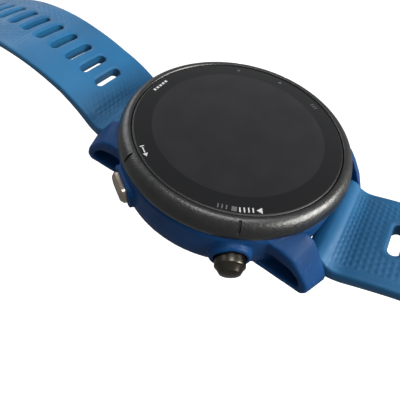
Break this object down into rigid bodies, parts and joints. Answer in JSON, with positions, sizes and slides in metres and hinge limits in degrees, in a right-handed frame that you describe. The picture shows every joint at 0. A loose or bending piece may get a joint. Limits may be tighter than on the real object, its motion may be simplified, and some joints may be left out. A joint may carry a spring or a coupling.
{
  "type": "gps sports watch",
  "caption": "Round GPS sports watch with side buttons, glass display, rear optical sensor and a slotted silicone quick-release band with keepers and pin buckle, lying open.",
  "frame": {"origin": "centre of the rear sensor glass, which is the face the watch rests on", "axes": "+Z is the display's outward normal, +Y points to 12 o'clock along the band, +X points to 3 o'clock"},
  "size_m": [0.0488, 0.2412, 0.0137],
  "materials": {
    "case_polymer": "satin moulded fibre-reinforced polymer, royal blue",
    "bezel_polymer": "fine-grained satin black",
    "lens_glass": "polished, chemically strengthened, with a black printed border",
    "display_face": "dark reflective memory-in-pixel panel, switched off",
    "black_rubber": "matte black sealing rubber",
    "red_rubber": "silicone sealing ring",
    "frame_polymer": "matte dark grey",
    "circuit_board": "solder mask",
    "tinned_steel": "tinned sheet",
    "antenna_metal": "copper-plated strip",
    "flex_film": "amber polyimide",
    "cell_foil": "matt pouch foil",
    "sensor_glass": "glossy black window",
    "cover_polymer": "fine matte black",
    "screw_steel": "blackened stainless steel",
    "contact_gold": "gold-plated",
    "start_metal": "polished dark steel",
    "key_metal": "polished stainless steel",
    "band_silicone": "smooth matte silicone, blue",
    "bar_steel": "stainless steel",
    "buckle_polymer": "matte dark polymer"
  },
  "bodies": {
    "case": {"case_body": "case_polymer", "bezel": "bezel_polymer", "lens": "lens_glass", "lens_gasket": "black_rubber", "display_panel": "display_face", "display_frame": "frame_polymer", "gps_antenna": "antenna_metal", "main_board": "circuit_board", "shield_cans": "tinned_steel", "battery_tray": "frame_polymer", "battery": "cell_foil", "vibration_motor": "tinned_steel", "buzzer": "antenna_metal", "switch_flex": "flex_film", "sensor_board": "circuit_board", "sensor_window": "sensor_glass", "back_cover": "cover_polymer", "cover_gasket": "red_rubber", "back_screws": "screw_steel", "charge_port": "cover_polymer", "charge_pins": "contact_gold", "button_seals": "black_rubber"},
    "start_key": {"start_button": "start_metal", "start_clip": "screw_steel"},
    "back_key": {"back_button": "key_metal", "back_clip": "screw_steel"},
    "light_key": {"light_button": "key_metal", "light_clip": "screw_steel"},
    "up_key": {"up_button": "key_metal", "up_clip": "screw_steel"},
    "down_key": {"down_button": "key_metal", "down_clip": "screw_steel"},
    "band_long_near": {"band_long_root": "band_silicone", "bar_tube_6": "bar_steel", "fixed_pin_6": "bar_steel", "bar_spring_6": "bar_steel"},
    "band_long_far": {"band_long_tip": "band_silicone"},
    "release_6": {"release_pin_6": "bar_steel"},
    "band_short_near": {"band_short_root": "band_silicone", "bar_tube_12": "bar_steel", "fixed_pin_12": "bar_steel", "bar_spring_12": "bar_steel"},
    "band_short_far": {"band_short_tip": "band_silicone", "keeper_fixed": "band_silicone"},
    "release_12": {"release_pin_12": "bar_steel"},
    "keeper": {"keeper_sliding": "band_silicone"},
    "buckle": {"buckle_frame": "buckle_polymer", "buckle_bar": "bar_steel"},
    "tongue": {"buckle_tongue": "bar_steel"}
  },
  "joints": [
    {"name": "start_press", "type": "slide", "parent": "case", "child": "start_key", "axis": [-0.866, -0.5, 0], "range_m": [0, 0.0005], "stiffness_N_per_m": 900, "springref_m": -0.0004},
    {"name": "back_press", "type": "slide", "parent": "case", "child": "back_key", "axis": [-0.866, 0.5, 0], "range_m": [0, 0.0005], "stiffness_N_per_m": 900, "springref_m": -0.0004},
    {"name": "light_press", "type": "slide", "parent": "case", "child": "light_key", "axis": [0.866, -0.5, 0], "range_m": [0, 0.0005], "stiffness_N_per_m": 900, "springref_m": -0.0004},
    {"name": "up_press", "type": "slide", "parent": "case", "child": "up_key", "axis": [1, 0, 0], "range_m": [0, 0.0005], "stiffness_N_per_m": 900, "springref_m": -0.0004},
    {"name": "down_press", "type": "slide", "parent": "case", "child": "down_key", "axis": [0.866, 0.5, 0], "range_m": [0, 0.0005], "stiffness_N_per_m": 900, "springref_m": -0.0004},
    {"name": "band_long_pivot", "type": "hinge", "parent": "case", "child": "band_long_near", "pos_m": [0, -0.0248, 0.0031], "axis": [-1, 0, 0], "range_deg": [-75, 25]},
    {"name": "band_long_flex", "type": "hinge", "parent": "band_long_near", "child": "band_long_far", "pos_m": [0, -0.05846, 0.0111], "axis": [-1, 0, 0], "range_deg": [-25, 20], "stiffness_Nm_per_rad": 0.02},
    {"name": "band_short_pivot", "type": "hinge", "parent": "case", "child": "band_short_near", "pos_m": [0, 0.0248, 0.0031], "axis": [1, 0, 0], "range_deg": [-75, 25]},
    {"name": "band_short_flex", "type": "hinge", "parent": "band_short_near", "child": "band_short_far", "pos_m": [0, 0.05454, 0.0096], "axis": [1, 0, 0], "range_deg": [-25, 20], "stiffness_Nm_per_rad": 0.02},
    {"name": "keeper_slide", "type": "slide", "parent": "band_short_far", "child": "keeper", "axis": [0, 0.9703, -0.2419], "range_m": [-0.004, 0.007]},
    {"name": "buckle_hinge", "type": "hinge", "parent": "band_short_far", "child": "buckle", "pos_m": [0, 0.09615, 0.0019], "axis": [1, 0, 0], "range_deg": [-60, 35]},
    {"name": "tongue_hinge", "type": "hinge", "parent": "buckle", "child": "tongue", "pos_m": [0, 0.09615, 0.0019], "axis": [1, 0, 0], "range_deg": [0, 95]},
    {"name": "release_6_slide", "type": "slide", "parent": "band_long_near", "child": "release_6", "axis": [1, 0, 0], "range_m": [0, 0.0015], "stiffness_N_per_m": 250, "springref_m": -0.0006},
    {"name": "release_12_slide", "type": "slide", "parent": "band_short_near", "child": "release_12", "axis": [-1, 0, 0], "range_m": [0, 0.0015], "stiffness_N_per_m": 250, "springref_m": -0.0006}
  ]
}
